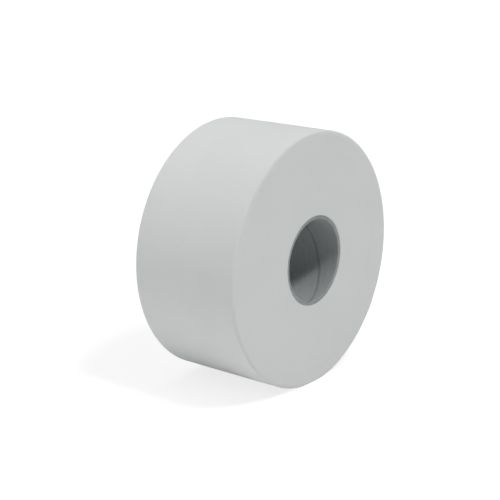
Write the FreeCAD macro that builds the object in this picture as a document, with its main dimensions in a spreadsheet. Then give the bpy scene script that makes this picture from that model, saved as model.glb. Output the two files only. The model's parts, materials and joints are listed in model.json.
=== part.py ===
import FreeCAD, Part
import math
import os

import Sketcher

# A toilet roll with a wide core that lies on its curved side.
# The roll's axis runs along Y, and the open end seen from the front is at -Y.
# The origin is in the middle of the small flat spot that the soft roll rests on.

os.makedirs("parts", exist_ok=True)

# Driving dimensions in millimetres, and angles in degrees from +X towards +Z
SIZES = {
    "roll_diameter": 186.0,
    "roll_width": 87.0,
    "flat_spot_depth": 1.0,
    "rim_radius": 3.3,
    "tail_step": 0.4,
    "tail_angle": -32.0,
    "bore_diameter": 60.0,
    "core_wall": 2.5,
    "core_recess": 0.5,
    "winding_clearance": 0.05,
    "turn_pitch": 11.4,
    "turn_groove_width": 1.4,
    "turn_groove_depth": 0.25,
    "turn_margin": 2.4,
    "seam_pitch": 68.0,
    "seam_width": 1.5,
    "seam_depth": 0.35,
    "seam_height": -23.4,
}

# Lengths that several features share, written as expressions on the spreadsheet
ROLL_RADIUS = "Sizes.roll_diameter / 2"
HALF_WIDTH = "Sizes.roll_width / 2"
RIM = "Sizes.rim_radius"
RIM_INSET = "Sizes.rim_radius * (1 - sqrt(0.5))"
BORE_RADIUS = "Sizes.bore_diameter / 2"
CORE_RADIUS = "Sizes.bore_diameter / 2 + Sizes.core_wall"
WINDING_RADIUS = "Sizes.bore_diameter / 2 + Sizes.core_wall + Sizes.winding_clearance"

# Sketcher's numbers for the origin, the two axes and the points of an edge
ORIGIN = X_AXIS = -1
Y_AXIS = X_AXIS - 1
START, END, CENTRE = range(1, 4)

doc = FreeCAD.newDocument("ToiletRoll")


def write_sizes():
    """Write every driving dimension to a cell that has its name as alias."""
    sheet = doc.addObject("Spreadsheet::Sheet", "Sizes")
    for row, (name, value) in enumerate(SIZES.items(), start=1):
        sheet.set(f"A{row}", name)
        sheet.set(f"B{row}", str(value))
        sheet.setAlias(f"B{row}", name)
    doc.recompute()


def new_body(name):
    """A body whose axis is lifted so that the flat spot is on the ground."""
    body = doc.addObject("PartDesign::Body", name)
    body.Label = name
    body.setExpression("Placement.Base.z", f"{ROLL_RADIUS} - Sizes.flat_spot_depth")
    return body


def origin_plane(body, role):
    return next(f for f in body.Origin.OriginFeatures if f.Role == role)


def new_sketch(body, name, plane):
    """A sketch on one of the body's own origin planes."""
    sketch = body.newObject("Sketcher::SketchObject", name)
    sketch.AttachmentSupport = [(origin_plane(body, plane), "")]
    sketch.MapMode = "FlatFace"
    return sketch


def bind(sketch, name, expression, kind, *where):
    """Add a dimension to the sketch and tie it to the spreadsheet."""
    index = sketch.addConstraint(Sketcher.Constraint(kind, *where))
    sketch.renameConstraint(index, name)
    sketch.setExpression(f"Constraints.{name}", expression)


def tie(sketch, kind, *where):
    sketch.addConstraint(Sketcher.Constraint(kind, *where))


def line(sketch, x1, y1, x2, y2, construction=False):
    start = FreeCAD.Vector(x1, y1, 0)
    end = FreeCAD.Vector(x2, y2, 0)
    return sketch.addGeometry(Part.LineSegment(start, end), construction)


def arc(sketch, x, y, radius, first, last):
    """An arc about (x, y) that runs from the first angle to the last, in degrees."""
    circle = Part.Circle(FreeCAD.Vector(x, y, 0), FreeCAD.Vector(0, 0, 1), radius)
    bounds = math.radians(first), math.radians(last)
    return sketch.addGeometry(Part.ArcOfCircle(circle, *bounds), False)


def rectangle(sketch, x1, y1, x2, y2):
    """Four edges, anticlockwise from the foot, level and upright."""
    foot = line(sketch, x1, y1, x2, y1)
    right = line(sketch, x2, y1, x2, y2)
    top = line(sketch, x2, y2, x1, y2)
    left = line(sketch, x1, y2, x1, y1)
    for this, following in ((foot, right), (right, top), (top, left), (left, foot)):
        tie(sketch, "Coincident", this, END, following, START)
    for level, upright in ((foot, right), (top, left)):
        tie(sketch, "Horizontal", level)
        tie(sketch, "Vertical", upright)
    return foot, right, top, left


def cut(body, sketch, name, depth=None):
    """Cut the sketch's outline to a depth, or along the whole roll."""
    feature = body.newObject("PartDesign::Pocket", name)
    feature.Profile = sketch
    if depth:
        feature.setExpression("Length", depth)
    else:
        feature.Type = "ThroughAll"
        feature.Midplane = True
    return feature


def winding_half(body, name, outer, axis_shift=None):
    """Half a turn of the wound sheet, with soft rims at both ends.

    The half that ends at the sheet's loose end turns about an axis that is shifted towards
    it, so that the side grows like a spiral and steps back where the sheet ends. Each rim
    is two bevels between three points of one arc.
    """
    sketch = new_sketch(body, f"{name}_section", "XY_Plane")
    turned = FreeCAD.Rotation(FreeCAD.Vector(0, 1, 0), -SIZES["tail_angle"])
    sketch.AttachmentOffset = FreeCAD.Placement(FreeCAD.Vector(), turned)
    sketch.setExpression("AttachmentOffset.Rotation.Angle", "-Sizes.tail_angle")
    rim = SIZES["rim_radius"]
    half = SIZES["roll_width"] / 2
    radius = SIZES["roll_diameter"] / 2
    inset = rim * (1 - math.sqrt(0.5))
    corners = [
        (0, half),
        (0, -half),
        (radius - rim, -half),
        (radius - inset, inset - half),
        (radius, rim - half),
        (radius, half - rim),
        (radius - inset, half - inset),
        (radius - rim, half),
    ]
    edges = [line(sketch, *p, *q) for p, q in zip(corners, corners[1:] + corners[:1])]
    for this, following in zip(edges, edges[1:] + edges[:1]):
        tie(sketch, "Coincident", this, END, following, START)
    middle, foot, foot_face, _, side, top_side, _, top = edges
    for pair in (
        (middle, START, middle, END),
        (top, START, foot, END),
        (top_side, END, foot_face, END),
        (side, END, side, START),
    ):
        tie(sketch, "Symmetric", *pair, X_AXIS)
    tie(sketch, "Horizontal", top)
    bind(sketch, "outer", outer, "DistanceX", ORIGIN, START, side, END, radius)
    bind(sketch, "half_width", HALF_WIDTH, "DistanceY", ORIGIN, START, middle, START, half)
    bind(sketch, "rim_in", RIM, "DistanceX", top, START, side, END, rim)
    bind(sketch, "rim_along", RIM, "DistanceY", side, END, top, START, rim)
    bind(sketch, "bevel_in", RIM_INSET, "DistanceX", top_side, END, side, END, inset)
    bind(sketch, "bevel_along", RIM_INSET, "DistanceY", top_side, END, top, START, inset)
    if axis_shift:
        shift = SIZES["tail_step"] / 2
        bind(sketch, "shift", axis_shift, "DistanceX", ORIGIN, START, middle, START, shift)
    else:
        tie(sketch, "PointOnObject", middle, START, Y_AXIS)
    axis = line(sketch, 0, half, 0, half + rim, construction=True)
    tie(sketch, "Coincident", axis, START, middle, START)
    tie(sketch, "Vertical", axis)
    bind(sketch, "axis_length", RIM, "DistanceY", axis, START, axis, END, rim)
    half_turn = body.newObject("PartDesign::Revolution", name)
    half_turn.Profile = sketch
    half_turn.ReferenceAxis = (sketch, ["Axis0"])
    half_turn.Angle = 180
    half_turn.Reversed = not axis_shift


def bore(body, name, radius):
    """A round hole along the roll's axis."""
    sketch = new_sketch(body, f"{name}_circle", "XZ_Plane")
    circle = Part.Circle(FreeCAD.Vector(), FreeCAD.Vector(0, 0, 1), SIZES["bore_diameter"] / 2)
    hole = sketch.addGeometry(circle, False)
    tie(sketch, "Coincident", hole, CENTRE, ORIGIN, START)
    bind(sketch, "radius", radius, "Radius", hole, SIZES["bore_diameter"] / 2)
    cut(body, sketch, name)


def flat_spot(body):
    """The flat underside, where the soft roll is pressed by its own weight."""
    sketch = new_sketch(body, "flat_spot_outline", "XZ_Plane")
    radius = SIZES["roll_diameter"] / 2
    level = radius - SIZES["flat_spot_depth"]
    _, right, top, left = rectangle(sketch, -radius, -2 * radius, radius, -level)
    level_name = f"{ROLL_RADIUS} - Sizes.flat_spot_depth"
    bind(sketch, "level", level_name, "DistanceY", top, START, ORIGIN, START, level)
    bind(sketch, "depth", ROLL_RADIUS, "DistanceY", right, START, right, END, radius)
    bind(sketch, "reach_left", ROLL_RADIUS, "DistanceX", left, START, ORIGIN, START, radius)
    bind(sketch, "reach_right", ROLL_RADIUS, "DistanceX", ORIGIN, START, right, END, radius)
    cut(body, sketch, "flat_spot")


def spiral_edge(sketch, second_centre, start_radius, half_turns):
    """A spiral of half circles about two centres, half a pitch apart on the X axis."""
    step = SIZES["turn_pitch"] / 2
    halves = []
    ties = []
    for half_turn in range(half_turns):
        upper = half_turn % 2 == 0
        radius = start_radius + half_turn * step
        x, first = (0, 0) if upper else (step, 180)
        edge = arc(sketch, x, 0, radius, first, first + 180)
        centre = (ORIGIN, START) if upper else (second_centre, START)
        ties.append(Sketcher.Constraint("Coincident", edge, CENTRE, *centre))
        ties.append(Sketcher.Constraint("PointOnObject", edge, END, X_AXIS))
        if halves:
            ties.append(Sketcher.Constraint("Coincident", halves[-1], END, edge, START))
        halves.append(edge)
    ties.append(Sketcher.Constraint("PointOnObject", halves[0], START, X_AXIS))
    sketch.addConstraint(ties)
    return halves


def turn_groove(body):
    """The shallow spiral that the sheet's turns draw on both ends of the roll."""
    sketch = new_sketch(body, "turns_outline", "XZ_Plane")
    turned = FreeCAD.Rotation(FreeCAD.Vector(0, 0, 1), SIZES["tail_angle"])
    sketch.AttachmentOffset = FreeCAD.Placement(FreeCAD.Vector(), turned)
    sketch.setExpression("AttachmentOffset.Base.z", HALF_WIDTH)
    sketch.setExpression("AttachmentOffset.Rotation.Angle", "Sizes.tail_angle")
    width = SIZES["turn_groove_width"]
    pitch = SIZES["turn_pitch"]
    first = (
        SIZES["bore_diameter"] / 2
        + SIZES["core_wall"]
        + SIZES["winding_clearance"]
        + SIZES["turn_margin"]
    )
    last = SIZES["roll_diameter"] / 2 - SIZES["rim_radius"] - SIZES["tail_step"] - width
    half_turns = int(2 * (last - first) / pitch)
    second_centre = sketch.addGeometry(Part.Point(FreeCAD.Vector(pitch / 2, 0, 0)), True)
    tie(sketch, "PointOnObject", second_centre, START, X_AXIS)
    apart = (ORIGIN, START, second_centre, START, pitch / 2)
    bind(sketch, "centres_apart", "Sizes.turn_pitch / 2", "DistanceX", *apart)
    inner = spiral_edge(sketch, second_centre, first, half_turns)
    outer = spiral_edge(sketch, second_centre, first + width, half_turns)
    first_name = f"{WINDING_RADIUS} + Sizes.turn_margin"
    bind(sketch, "first", first_name, "Radius", inner[0], first)
    across = (inner[0], START, outer[0], START, width)
    bind(sketch, "width", "Sizes.turn_groove_width", "DistanceX", *across)
    for index, end in ((0, START), (-1, END)):
        closing = line(sketch, first, 0, first + width, 0)
        tie(sketch, "Coincident", closing, START, inner[index], end)
        tie(sketch, "Coincident", closing, END, outer[index], end)
    front = cut(body, sketch, "turns_front", "Sizes.turn_groove_depth")
    both = body.newObject("PartDesign::Mirrored", "turns_both_ends")
    both.Originals = [front]
    both.MirrorPlane = (origin_plane(body, "XZ_Plane"), [""])
    body.Tip = both


def core_wall(body):
    """The board tube, cut a little shorter than the roll."""
    sketch = new_sketch(body, "wall_section", "XZ_Plane")
    inner_radius = SIZES["bore_diameter"] / 2
    outer_radius = inner_radius + SIZES["core_wall"]
    for name, value, expression in (
        ("inner", inner_radius, BORE_RADIUS),
        ("outer", outer_radius, CORE_RADIUS),
    ):
        circle = Part.Circle(FreeCAD.Vector(), FreeCAD.Vector(0, 0, 1), value)
        edge = sketch.addGeometry(circle, False)
        tie(sketch, "Coincident", edge, CENTRE, ORIGIN, START)
        bind(sketch, name, expression, "Radius", edge, value)
    tube = body.newObject("PartDesign::Pad", "wall")
    tube.Profile = sketch
    tube.Midplane = True
    tube.setExpression("Length", "Sizes.roll_width - 2 * Sizes.core_recess")


def core_seam(body):
    """The groove on the inside where the edges of the spirally wound board meet.

    seam_height is where its middle passes +X, measured along Y from the middle of the roll.
    """
    half = SIZES["roll_width"] / 2
    pitch = SIZES["seam_pitch"]
    turns_before = math.ceil((half + SIZES["seam_height"]) / pitch)
    turns_after = math.ceil((half - SIZES["seam_height"]) / pitch)
    sketch = new_sketch(body, "seam_section", "XY_Plane")
    x = SIZES["bore_diameter"] / 2
    depth, width = SIZES["seam_depth"], SIZES["seam_width"]
    y = SIZES["seam_height"] - turns_before * pitch - width / 2
    foot, right, _, left = rectangle(sketch, x - depth, y, x + depth, y + width)
    outer_name = f"{BORE_RADIUS} + Sizes.seam_depth"
    inner_name = f"{BORE_RADIUS} - Sizes.seam_depth"
    level_name = f"{turns_before} * Sizes.seam_pitch - Sizes.seam_height + Sizes.seam_width / 2"
    bind(sketch, "outer", outer_name, "DistanceX", ORIGIN, START, right, START, x + depth)
    bind(sketch, "inner", inner_name, "DistanceX", ORIGIN, START, left, START, x - depth)
    bind(sketch, "width", "Sizes.seam_width", "DistanceY", right, START, right, END, width)
    bind(sketch, "level", level_name, "DistanceY", foot, START, ORIGIN, START, -y)
    seam = body.newObject("PartDesign::SubtractiveHelix", "seam")
    seam.Profile = sketch
    seam.ReferenceAxis = (sketch, ["V_Axis"])
    seam.Mode = "pitch-turns-angle"
    seam.setExpression("Pitch", "Sizes.seam_pitch")
    seam.Turns = turns_before + turns_after
    seam.LeftHanded = True


def export(body):
    """Write one solid to parts/ under its label, once nothing in it has failed."""
    for part in [body, *body.Group]:
        if "Invalid" in part.State or "Error" in part.State:
            raise RuntimeError(f"{part.Label} could not be built")
    shape = body.Shape
    if shape.isNull() or not shape.isValid() or len(shape.Solids) != 1:
        raise RuntimeError(f"{body.Label} is not one valid solid")
    shape.exportStep(f"parts/{body.Label}.step")


write_sizes()

paper_roll = new_body("paper_roll")
winding_half(paper_roll, "winding_inner_half", f"{ROLL_RADIUS} - Sizes.tail_step")
winding_half(paper_roll, "winding_tail_half", ROLL_RADIUS, "Sizes.tail_step / 2")
bore(paper_roll, "winding_bore", WINDING_RADIUS)
flat_spot(paper_roll)
turn_groove(paper_roll)

core_tube = new_body("core_tube")
core_wall(core_tube)
core_seam(core_tube)

doc.recompute()
for solid in (paper_roll, core_tube):
    export(solid)
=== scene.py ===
import json
import math

import bmesh
import bpy
from mathutils import Matrix, Vector, noise


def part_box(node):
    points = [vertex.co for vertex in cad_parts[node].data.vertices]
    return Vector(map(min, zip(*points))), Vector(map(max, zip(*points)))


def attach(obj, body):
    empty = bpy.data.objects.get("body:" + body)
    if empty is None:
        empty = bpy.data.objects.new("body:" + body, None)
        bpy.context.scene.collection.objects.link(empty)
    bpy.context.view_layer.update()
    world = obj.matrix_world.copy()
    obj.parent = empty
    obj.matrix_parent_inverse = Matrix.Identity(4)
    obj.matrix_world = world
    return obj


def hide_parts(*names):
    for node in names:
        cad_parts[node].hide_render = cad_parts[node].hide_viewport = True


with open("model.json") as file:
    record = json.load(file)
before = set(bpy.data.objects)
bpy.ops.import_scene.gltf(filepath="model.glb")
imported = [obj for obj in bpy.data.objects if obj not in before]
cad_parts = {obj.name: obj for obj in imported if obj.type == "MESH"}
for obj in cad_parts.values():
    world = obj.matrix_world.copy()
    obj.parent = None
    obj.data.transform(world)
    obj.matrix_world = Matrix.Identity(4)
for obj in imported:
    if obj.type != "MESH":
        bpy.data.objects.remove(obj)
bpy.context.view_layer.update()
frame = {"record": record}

# Sizes in metres, from the frame where it has them. The rim and the seam are finer than the solids'.
PAPER_LOW, PAPER_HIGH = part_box("paper_roll")
CORE_LOW, CORE_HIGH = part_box("core_tube")
CORE_BORE = next(m for m in frame["record"]["mounts"] if m["name"] == "core_bore")
AXIS_HEIGHT = CORE_BORE["pos_m"][2]
BORE_RADIUS = CORE_BORE["dims"]["r_mm"] / 1000
FLAT_SPOT_DEPTH = 0.001
ROLL_RADIUS = AXIS_HEIGHT + FLAT_SPOT_DEPTH
HALF_WIDTH = (PAPER_HIGH.y - PAPER_LOW.y) / 2
CORE_SINK = 0.00015
CORE_HALF_WIDTH = HALF_WIDTH - CORE_SINK
CORE_RADIUS = (CORE_HIGH.x - CORE_LOW.x) / 2
CUT_BEVEL = 0.0002
WINDING_CLEARANCE = 0.00005
WINDING_RADIUS = CORE_RADIUS + WINDING_CLEARANCE
RIM_INWARD = 0.0028
RIM_DEPTH = 0.0015
TAIL_STEP = 0.0004
TAIL_ANGLE = math.radians(-32)
SHEET_THICKNESS = 0.00025
SEAM_PITCH = 0.068
SEAM_HEIGHT = -0.0234
SEAM_WIDTH = 0.0026
SEAM_DEPTH = 0.00014
SEAM_SLOPE_INSIDE = 0.00025
SEAM_SLOPE_OUTSIDE = 0.00015

# The sheet's loose end: how far its underside reaches back, and how its edge lifts and waves
FLAP_ANGLE = math.radians(1.0)
FLAP_LIFT = 0.00025
FLAP_RISE_ANGLE = math.radians(5)
FLAP_EVEN_SHARE = 0.6
FLAP_WAVE_SHARE = 0.4
FLAP_WAVE_SCALE = 42

# Turns on the ends, drawn coarser than they are: bands in the mesh, turns and lines in the material
BAND_PITCH = 0.0016
TURN_PITCH = 0.00024
LINE_TURNS = 4

# The mesh's soft patterns: their heights in metres, and scales that are larger for finer patterns
BAND_RELIEF = 0.00004
BAND_SCALE = 1.3
RING_RELIEF = 0.00008
RING_SCALE = 95
DISH_RELIEF = 0.00014
DISH_SCALE = 1.9
SWELL_RELIEF = 0.00016
SWELL_SCALE = 2.3
DENT_RELIEF = 0.00007
DENT_SCALE = 7.0
FUZZ_RELIEF = 0.00012
FUZZ_ROUND_SCALE = 9
FUZZ_INWARD_SCALE = 900
FUZZ_LENGTH_SCALE = 50

# Where in the noise the patterns that run along one line are read, so that they differ
BAND_PLACE = 3.1
RING_PLACE = 9.7
FLAP_PLACE = 5.5

# The meshes' points: columns round the axis, and rows on each stretch of a section
ROLL_COLUMNS = 300
FACE_ROWS = 104
SIDE_ROWS = 42
RIM_ROWS = 6
CORE_COLUMNS = 220
WALL_ROWS = 230
RING_ROWS = 6
WELD_DISTANCE = 0.000002

# Colours that match the photograph's tissue and board under these lights
TISSUE = (0.742, 0.759, 0.757, 1)
# A deeper tone of the tissue, for its random clouds and for the painted shade between the turns on
# the ends
TISSUE_TONE_AND_SHADE = (0.705, 0.724, 0.724, 1)
BOARD = (0.353, 0.379, 0.384, 1)
BOARD_DARK = (0.245, 0.264, 0.267, 1)
BOARD_PALE = (0.446, 0.456, 0.441, 1)
# The seam's colour: partly the joint's own darker board, partly painted shade in place of a deeper
# groove
SEAM_JOINT_AND_SHADE = (0.172, 0.186, 0.189, 1)

# The tissue's look. The crepe's scales are along X, Y and Z, so its streaks lie along the roll.
CREPE_SCALES = (2600.0, 260.0, 2600.0)
FIBRE_SHARE = 0.6
# GROOVE_SHADE is how far the grooves between the turns on the ends are darkened with painted shade
GROOVE_SHADE = 0.3
END_LOOK_RIM_SHARE = 0.2

# The board's look: streaks across and along the strip, plies outwards and round the cut ends
STREAK_SCALES = (55.0, 11.3, 0.0)
STREAK_SHARE = 0.6
PLY_SCALES = (2100.0, 0.8, 0.8)
WALL_LOOK_DEPTH = 0.0004
CUT_LOOK_DEPTH = 0.0005
# How far the seam is darkened, as a darker joint and painted shade, and where that is full and where
# it ends
SEAM_SHADE = 0.5
SEAM_SHADE_FULL = 0.45
SEAM_SHADE_END = 1.15

# The floor and the sky. The floor glows towards the camera, and is plain white past the fade.
FLOOR_SIZE = 12.0
FLOOR_GAP = 0.0001
FLOOR_COLOR = (0.93, 0.93, 0.93, 1)
FLOOR_SHOWN = (0.32, 0.32, 0.32, 1)
FLOOR_GLOW = 0.77
FLOOR_FADE = (0.4, 2.5)
SKY_COLOR = (1, 1, 1, 1)
SKY_STRENGTH = 0.84
SKY_FALLOFF = 2.0

# Name, place, size and power of each soft lamp
LAMPS = (
    ("key", (0.0, -2.88, 5.37), 1.08, 161.0),
    ("overhead", (-0.4, 0.5, 1.9), 1.0, 3.0),
    ("left_fill", (-1.33, 0.2, 0.2), 0.4, 1.25),
    ("rear_fill", (-0.85, 1.0, 0.2), 0.3, 1.45),
)

# The photograph's camera, from a fit to the outline, the rim and the core
VIEW_AZIMUTH = math.radians(-52.03)
VIEW_ELEVATION = math.radians(15.99)
VIEW_DISTANCE = 0.9382
VIEW_SIDE_OFFSET = -0.0116
VIEW_UP_OFFSET = 0.0002
SENSOR_MM = 36.0
FRAME_PX = 500
FOCAL_PX = 1287.3


def smoothstep(low, high, value):
    """0 up to low and 1 from high on, with a soft rise between. low may be the larger one."""
    t = min(max((value - low) / (high - low), 0.0), 1.0)
    return t * t * (3 - 2 * t)


def polar(radius, angle, y):
    """A point beside the roll's axis. The angle runs from +X towards +Z."""
    return Vector((radius * math.cos(angle), y, AXIS_HEIGHT + radius * math.sin(angle)))


def ring_object(name, columns):
    """A closed mesh from columns of points, each a closed section through the ring."""
    rows = len(columns[0])
    mesh = bpy.data.meshes.new(name)
    bm = bmesh.new()
    verts = [[bm.verts.new(point) for point in column] for column in columns]
    for i, column in enumerate(verts):
        following = verts[(i + 1) % len(verts)]
        for j in range(rows):
            k = (j + 1) % rows
            bm.faces.new((column[j], following[j], following[k], column[k]))
    bmesh.ops.remove_doubles(bm, verts=bm.verts, dist=WELD_DISTANCE)
    bmesh.ops.recalc_face_normals(bm, faces=bm.faces)
    for face in bm.faces:
        face.smooth = True
    bm.to_mesh(mesh)
    bm.free()
    obj = bpy.data.objects.new(name, mesh)
    bpy.context.scene.collection.objects.link(obj)
    return obj


# The wound tissue

def roll_section():
    """Points (radius, y) round one section: front end, front rim, side, rear rim, rear end."""
    inner, outer = WINDING_RADIUS, ROLL_RADIUS - RIM_INWARD
    face = [inner + (outer - inner) * i / FACE_ROWS for i in range(FACE_ROWS)]
    front = [(radius, -HALF_WIDTH) for radius in face]
    rim = [math.radians(90 * i / RIM_ROWS) for i in range(RIM_ROWS)]
    front_rim = [
        (outer + RIM_INWARD * math.sin(a), -HALF_WIDTH + RIM_DEPTH * (1 - math.cos(a)))
        for a in rim
    ]
    reach = HALF_WIDTH - RIM_DEPTH
    half_side = [
        (ROLL_RADIUS, -reach + 2 * reach * i / SIDE_ROWS) for i in range(SIDE_ROWS // 2)
    ]
    front_half = front + front_rim + half_side
    rear_half = [(radius, -y) for radius, y in reversed(front_half)]
    return front_half + [(ROLL_RADIUS, 0.0)] + rear_half


def turn_relief(radius, turned):
    """How far the sheet's edge stands out of the end, running on from turn to turn."""
    round_part = turned / math.tau
    place = (radius - WINDING_RADIUS) / BAND_PITCH - round_part
    turn = math.floor(place)
    here = noise.noise(Vector(((turn + round_part) * BAND_SCALE, BAND_PLACE, 0.0)))
    following = noise.noise(Vector(((turn + 1 + round_part) * BAND_SCALE, BAND_PLACE, 0.0)))
    return BAND_RELIEF * (here + (following - here) * smoothstep(0, 1, place - turn))


def end_relief(radius, angle):
    """The gentle dishing of an end, from slack and tight turns."""
    point = Vector((radius * math.cos(angle), radius * math.sin(angle), 0)) / ROLL_RADIUS
    rings = noise.noise(Vector((radius * RING_SCALE, 0.0, RING_PLACE)))
    return RING_RELIEF * rings + DISH_RELIEF * noise.noise(point * DISH_SCALE)


def side_relief(angle, y):
    """The slack and tension of the outer turns, as gentle hollows and swellings."""
    point = Vector((math.cos(angle), y / ROLL_RADIUS, math.sin(angle)))
    swell = SWELL_RELIEF * noise.noise(point * SWELL_SCALE)
    return swell + DENT_RELIEF * noise.noise(point * DENT_SCALE)


def roll_point(radius, y, turned, lift, back):
    """A point of the section, turned from the sheet's end, with the winding's relief.

    lift raises the side and back moves it round the roll, both fading out over the rims.
    """
    side = smoothstep(ROLL_RADIUS - RIM_INWARD, ROLL_RADIUS, radius)
    edge = smoothstep(HALF_WIDTH, HALF_WIDTH - RIM_DEPTH, abs(y)) * side
    angle = TAIL_ANGLE + turned - back * edge
    spiral = TAIL_STEP * (turned / math.tau - 1)
    grown = radius + side * spiral + edge * (side_relief(angle, y) + lift)
    relief = 0.0
    if abs(y) > HALF_WIDTH - RIM_DEPTH:
        flatness = 1 - smoothstep(ROLL_RADIUS - 2 * RIM_INWARD, ROLL_RADIUS, radius)
        fade = smoothstep(HALF_WIDTH - RIM_DEPTH, HALF_WIDTH, abs(y))
        relief = fade * (turn_relief(radius, turned) * flatness + end_relief(radius, angle))
    point = polar(grown, angle, y + math.copysign(relief, y))
    point.z = max(point.z, 0.0)
    return point


def flap_lift(y, from_end):
    """How far the sheet lifts off the roll, most at its loose edge."""
    near = smoothstep(FLAP_RISE_ANGLE, 0, from_end)
    wave = noise.noise(Vector((y * FLAP_WAVE_SCALE, FLAP_PLACE, 0)))
    return FLAP_LIFT * near * (FLAP_EVEN_SHARE + FLAP_WAVE_SHARE * wave)


def roll_column(section, turned, below=0.0, back=0.0):
    """The section's points at one angle from the sheet's end. below lowers the side."""
    from_end = math.tau - turned + back
    return [
        roll_point(radius, y, turned, flap_lift(y, from_end) - below, back)
        for radius, y in section
    ]


def make_roll():
    """The roll. Its last columns are the loose edge, its underside and the turn below it."""
    section = roll_section()
    columns = [roll_column(section, math.tau * i / ROLL_COLUMNS) for i in range(ROLL_COLUMNS)]
    columns.append(roll_column(section, math.tau))
    columns.append(roll_column(section, math.tau, below=SHEET_THICKNESS))
    columns.append(roll_column(section, math.tau, below=SHEET_THICKNESS, back=FLAP_ANGLE))
    columns.append(roll_column(section, 0.0, back=FLAP_ANGLE))
    return ring_object("tissue_roll", columns)


# The core

def seam_distance(angle, y):
    """How far along Y a point on the bore is from the middle of the seam."""
    turns = (y - SEAM_HEIGHT) / SEAM_PITCH - angle / math.tau
    return abs(turns - round(turns)) * SEAM_PITCH


def core_point(radius, y, angle):
    """A point of the core's section, with the seam's groove and the fuzz of the cut ends."""
    edge = SEAM_WIDTH / 2
    if radius < BORE_RADIUS + CUT_BEVEL:
        off = seam_distance(angle, y)
        groove = 1 - smoothstep(edge - SEAM_SLOPE_INSIDE, edge + SEAM_SLOPE_OUTSIDE, off)
        radius += SEAM_DEPTH * groove
    if abs(y) > CORE_HALF_WIDTH - 2 * CUT_BEVEL:
        around = Vector((math.cos(angle), math.sin(angle), 0)) * FUZZ_ROUND_SCALE
        inward = Vector((0, 0, radius * FUZZ_INWARD_SCALE + y * FUZZ_LENGTH_SCALE))
        fuzz = FUZZ_RELIEF * noise.noise(around + inward)
        y += math.copysign(fuzz, y) - math.copysign(FUZZ_RELIEF, y)
    return polar(radius, angle, y)


def make_core():
    """The core: its section goes along the bore, over the rear end, back and over the front."""
    half = CORE_HALF_WIDTH
    wall = [half * (2 * i / WALL_ROWS - 1) for i in range(1, WALL_ROWS)]
    inner = [(BORE_RADIUS, -half + CUT_BEVEL)]
    inner += [(BORE_RADIUS, y) for y in wall if abs(y) < half - 2 * CUT_BEVEL]
    inner += [(BORE_RADIUS, half - CUT_BEVEL)]
    low, high = BORE_RADIUS + CUT_BEVEL, CORE_RADIUS - CUT_BEVEL / 2
    ring = [low + (high - low) * i / RING_ROWS for i in range(RING_ROWS + 1)]
    rear = [(radius, half) for radius in ring]
    outer = [(CORE_RADIUS, half - CUT_BEVEL), (CORE_RADIUS, CUT_BEVEL - half)]
    front = [(radius, -half) for radius in reversed(ring)]
    section = inner + rear + outer + front
    columns = [
        [core_point(radius, y, math.tau * i / CORE_COLUMNS) for radius, y in section]
        for i in range(CORE_COLUMNS)
    ]
    return ring_object("wound_core", columns)


# Materials

class Nodes:
    """A short way to write node trees: each call adds one node and links its inputs."""

    def __init__(self, owner):
        owner.use_nodes = True
        self.tree = owner.node_tree
        self.tree.nodes.clear()

    def add(self, kind, inputs=(), output=0, **settings):
        """Adds a node. An input is another node's output, which is linked, or a plain value."""
        node = self.tree.nodes.new(kind)
        for key, value in settings.items():
            setattr(node, key, value)
        for key, value in dict(inputs).items():
            if isinstance(value, bpy.types.NodeSocket):
                self.tree.links.new(value, node.inputs[key])
            else:
                node.inputs[key].default_value = value
        return node.outputs[output] if node.outputs else None

    def math(self, operation, a, b=0.0):
        return self.add("ShaderNodeMath", {0: a, 1: b}, operation=operation)

    def ramp(self, value, low, high, first=0.0, last=1.0):
        """A soft step from first to last while the value goes from low to high."""
        return self.add(
            "ShaderNodeMapRange",
            {"Value": value, "From Min": low, "From Max": high, "To Min": first, "To Max": last},
            interpolation_type="SMOOTHSTEP",
        )

    def mix(self, factor, a, b):
        """A colour between a and b. The numbers are the node's sockets for mixing colours."""
        return self.add("ShaderNodeMix", {0: factor, 6: a, 7: b}, output=2, data_type="RGBA")

    def noise(self, vector, scale=1.0, detail=2.0, roughness=0.5):
        return self.add(
            "ShaderNodeTexNoise",
            {"Vector": vector, "Scale": scale, "Detail": detail, "Roughness": roughness},
        )

    def vector(self, x, y, z):
        return self.add("ShaderNodeCombineXYZ", {"X": x, "Y": y, "Z": z})

    def stretch(self, vector, scales):
        return self.add("ShaderNodeVectorMath", {0: vector, 1: scales}, operation="MULTIPLY")

    def bump(self, height, distance, strength):
        inputs = {"Height": height, "Distance": distance, "Strength": strength}
        return self.add("ShaderNodeBump", inputs)

    def roll_coordinates(self):
        """The point's radius and angle about the roll's axis, its place along it, and itself."""
        here = self.add("ShaderNodeTexCoord", output="Object")
        parts = self.tree.nodes.new("ShaderNodeSeparateXYZ")
        self.tree.links.new(here, parts.inputs[0])
        x, y, z = parts.outputs
        rise = self.math("SUBTRACT", z, AXIS_HEIGHT)
        squares = self.math("ADD", self.math("MULTIPLY", x, x), self.math("MULTIPLY", rise, rise))
        return self.math("SQRT", squares), self.math("ARCTAN2", rise, x), y, here

    def wound_lines(self, wound, turned, pitch, scale):
        """One value for each turn of a spiral, which runs on from turn to turn."""
        place = self.math("SUBTRACT", self.math("DIVIDE", wound, pitch), turned)
        length = self.math("ADD", self.math("FLOOR", place), turned)
        return self.noise(self.vector(length, 0.0, 0.0), scale, detail=1.0)

    def seen_directly(self):
        """1 where the camera sees a surface, also by a reflection or through glass, else 0."""
        paths = self.tree.nodes.new("ShaderNodeLightPath").outputs
        seen = self.math("MAXIMUM", paths["Is Camera Ray"], paths["Is Glossy Ray"])
        return self.math("MAXIMUM", seen, paths["Is Transmission Ray"])

    def finish_material(self, inputs):
        """Ends the tree with a shader that has these inputs."""
        shader = self.add("ShaderNodeBsdfPrincipled", inputs)
        self.add("ShaderNodeOutputMaterial", {"Surface": shader})


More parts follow.
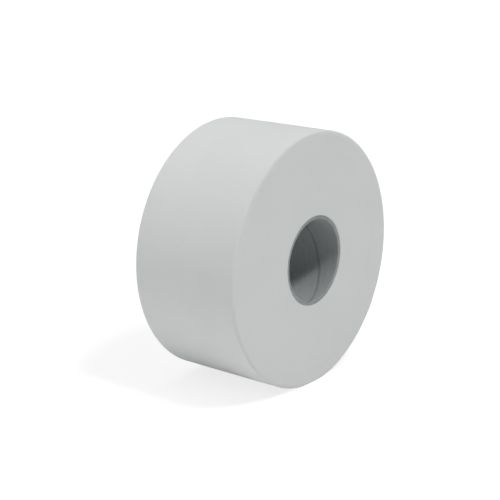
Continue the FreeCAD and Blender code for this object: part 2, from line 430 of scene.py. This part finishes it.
def tissue_material():
    """Tissue with crepe and fibres on the side, and the edges of its turns on the ends, with painted
    shade in the grooves between them.
    """
    material = bpy.data.materials.new("soft_tissue")
    n = Nodes(material)
    radius, angle, y, here = n.roll_coordinates()
    full_from = HALF_WIDTH - END_LOOK_RIM_SHARE * RIM_DEPTH
    on_end = n.ramp(n.math("ABSOLUTE", y), low=HALF_WIDTH - RIM_DEPTH, high=full_from)
    on_side = n.math("SUBTRACT", 1.0, on_end)

    turned = n.math("DIVIDE", n.math("SUBTRACT", angle, TAIL_ANGLE), math.tau)
    wound = n.math("SUBTRACT", radius, WINDING_RADIUS)
    single_turns = n.wound_lines(wound, turned, pitch=TURN_PITCH, scale=1.7)
    lines = n.wound_lines(wound, turned, pitch=LINE_TURNS * TURN_PITCH, scale=0.9)
    crepe = n.noise(n.stretch(here, CREPE_SCALES))
    fibre = n.noise(here, scale=900.0, detail=3.0, roughness=0.6)
    cloud = n.noise(here, scale=26.0)

    tint = n.mix(n.ramp(cloud, low=0.3, high=0.7, last=0.35), TISSUE, TISSUE_TONE_AND_SHADE)
    # On the ends the lower turns are painted darker than the raised ones: painted shade in the
    # grooves
    raised = n.math("MULTIPLY", n.ramp(lines, low=0.35, high=0.62), on_end)
    most_shade = n.math("MULTIPLY", on_end, GROOVE_SHADE)
    groove_shade = n.math("MULTIPLY", n.math("SUBTRACT", 1.0, raised), most_shade)

    end_height = n.math("MULTIPLY", n.math("ADD", single_turns, lines), on_end)
    side_pattern = n.math("ADD", crepe, n.math("MULTIPLY", fibre, FIBRE_SHARE))
    side_height = n.math("MULTIPLY", side_pattern, on_side)
    height = n.math("ADD", end_height, side_height)
    n.finish_material(
        {
            "Base Color": n.mix(groove_shade, tint, TISSUE_TONE_AND_SHADE),
            "Roughness": 0.92,
            "Normal": n.bump(height, distance=0.00014, strength=0.7),
            "IOR": 1.35,
            "Specular IOR Level": 0.25,
            "Sheen Weight": 0.08,
            "Sheen Roughness": 0.6,
        }
    )
    return material


def board_material():
    """Grey board wound from a strip, with plies on its cut ends and the seam on its inside, darker
    partly as a joint and partly with painted shade.
    """
    material = bpy.data.materials.new("grey_board")
    n = Nodes(material)
    radius, angle, y, here = n.roll_coordinates()
    on_wall = n.ramp(
        radius,
        low=BORE_RADIUS + WALL_LOOK_DEPTH,
        high=BORE_RADIUS + CUT_LOOK_DEPTH,
        first=1.0,
        last=0.0,
    )
    on_cut = n.math("SUBTRACT", 1.0, on_wall)

    round_part = n.math("DIVIDE", angle, math.tau)
    along_bore = n.math("DIVIDE", n.math("SUBTRACT", y, SEAM_HEIGHT), SEAM_PITCH)
    turns = n.math("SUBTRACT", along_bore, round_part)
    off = n.math("ABSOLUTE", n.math("SUBTRACT", turns, n.math("ROUND", turns)))
    half_seam = SEAM_WIDTH / 2 / SEAM_PITCH
    full_at, end_at = SEAM_SHADE_FULL * half_seam, SEAM_SHADE_END * half_seam
    near_seam = n.ramp(off, low=full_at, high=end_at, first=1.0, last=0.0)
    in_seam = n.math("MULTIPLY", near_seam, on_wall)

    # The strip's turn, the place across it and the length along it, which run on round the bore
    winding = n.math("FLOOR", turns)
    across = n.math("SUBTRACT", turns, winding)
    length = n.math("ADD", round_part, winding)
    streaks = n.noise(
        n.stretch(n.vector(across, length, 0.0), STREAK_SCALES), detail=4.0, roughness=0.65
    )
    pulp = n.noise(here, scale=750.0, detail=4.0, roughness=0.7)
    flecks = n.noise(here, scale=420.0)
    round_it = n.vector(radius, n.math("COSINE", angle), n.math("SINE", angle))
    plies = n.noise(n.stretch(round_it, PLY_SCALES))

    color = n.mix(n.ramp(streaks, low=0.3, high=0.7, last=0.5), BOARD, BOARD_DARK)
    color = n.mix(n.ramp(pulp, low=0.35, high=0.75, last=0.4), color, BOARD_PALE)
    color = n.mix(n.ramp(flecks, low=0.62, high=0.7, last=0.45), color, BOARD_DARK)
    layered = n.math("MULTIPLY", n.ramp(plies, low=0.4, high=0.62, last=0.5), on_cut)
    color = n.mix(layered, color, BOARD_DARK)
    # The seam is darker: partly the joint's own colour, partly painted shade in place of a deeper
    # groove
    color = n.mix(n.math("MULTIPLY", in_seam, SEAM_SHADE), color, SEAM_JOINT_AND_SHADE)

    height = n.math("ADD", n.math("MULTIPLY", streaks, STREAK_SHARE), pulp)
    n.finish_material(
        {
            "Base Color": color,
            "Roughness": 0.86,
            "Normal": n.bump(height, distance=0.0001, strength=0.6),
            "IOR": 1.4,
            "Specular IOR Level": 0.35,
        }
    )
    return material


# Stage, lights and camera

def floor_material():
    """A pale floor that the camera sees as white, with the roll's shadow kept."""
    material = bpy.data.materials.new("pale_floor")
    n = Nodes(material)
    seen = n.seen_directly()
    here = n.add("ShaderNodeTexCoord", output="Object")
    away = n.add("ShaderNodeVectorMath", {0: here}, output="Value", operation="LENGTH")
    glow = n.ramp(away, *FLOOR_FADE, first=FLOOR_GLOW)
    diffuse = n.add("ShaderNodeBsdfDiffuse", {"Color": n.mix(seen, FLOOR_COLOR, FLOOR_SHOWN)})
    light = n.add("ShaderNodeEmission", {"Strength": n.math("MULTIPLY", seen, glow)})
    both = n.add("ShaderNodeAddShader", {0: diffuse, 1: light})
    n.add("ShaderNodeOutputMaterial", {"Surface": both})
    return material


def add_floor():
    bpy.ops.mesh.primitive_plane_add(size=FLOOR_SIZE, location=(0, 0, -FLOOR_GAP))
    floor = bpy.context.object
    floor.name = "floor"
    floor.data.materials.append(floor_material())


def add_world():
    """Soft light from above, and plain white where the camera looks past the floor."""
    world = bpy.data.worlds.new("studio")
    bpy.context.scene.world = world
    n = Nodes(world)
    direction = n.add("ShaderNodeTexCoord", output="Generated")
    height = n.add("ShaderNodeSeparateXYZ", {0: direction}, output="Z")
    above = n.math("POWER", n.math("MAXIMUM", height, 0.0), SKY_FALLOFF)
    sky = n.math("MULTIPLY", above, SKY_STRENGTH)
    seen = n.seen_directly()
    strength = n.math("ADD", n.math("MULTIPLY", n.math("SUBTRACT", 1.0, seen), sky), seen)
    light = n.add("ShaderNodeBackground", {"Color": SKY_COLOR, "Strength": strength})
    n.add("ShaderNodeOutputWorld", {"Surface": light})


def add_lamp(name, place, size, power):
    """A square soft lamp that is aimed at the middle of the roll."""
    light = bpy.data.lights.new(name, "AREA")
    light.energy = power
    light.size = size
    lamp = bpy.data.objects.new(name, light)
    lamp.location = place
    aim = Vector((0, 0, AXIS_HEIGHT)) - lamp.location
    lamp.rotation_euler = aim.to_track_quat("-Z", "Y").to_euler()
    bpy.context.scene.collection.objects.link(lamp)


def add_camera():
    """The photograph's camera, upright, with the roll a little right of its aim."""
    cos_el = math.cos(VIEW_ELEVATION)
    back = Vector(
        (
            math.sin(VIEW_AZIMUTH) * cos_el,
            -math.cos(VIEW_AZIMUTH) * cos_el,
            math.sin(VIEW_ELEVATION),
        )
    )
    right = (-back).cross(Vector((0, 0, 1))).normalized()
    up = right.cross(-back)
    camera = bpy.data.objects.new("camera", bpy.data.cameras.new("camera"))
    camera.data.sensor_width = SENSOR_MM
    camera.data.lens = FOCAL_PX * SENSOR_MM / FRAME_PX
    place = Vector((0, 0, AXIS_HEIGHT))
    place += back * VIEW_DISTANCE + right * VIEW_SIDE_OFFSET + up * VIEW_UP_OFFSET
    turn = Matrix((right, up, back)).transposed().to_4x4()
    camera.matrix_world = Matrix.Translation(place) @ turn
    bpy.context.scene.collection.objects.link(camera)
    bpy.context.scene.camera = camera


roll = make_roll()
roll.data.materials.append(tissue_material())
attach(roll, "root")
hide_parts("paper_roll")

core = make_core()
core.data.materials.append(board_material())
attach(core, "root")
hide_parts("core_tube")

add_floor()
add_world()
for lamp in LAMPS:
    add_lamp(*lamp)
add_camera()
bpy.context.scene.view_settings.view_transform = "Standard"
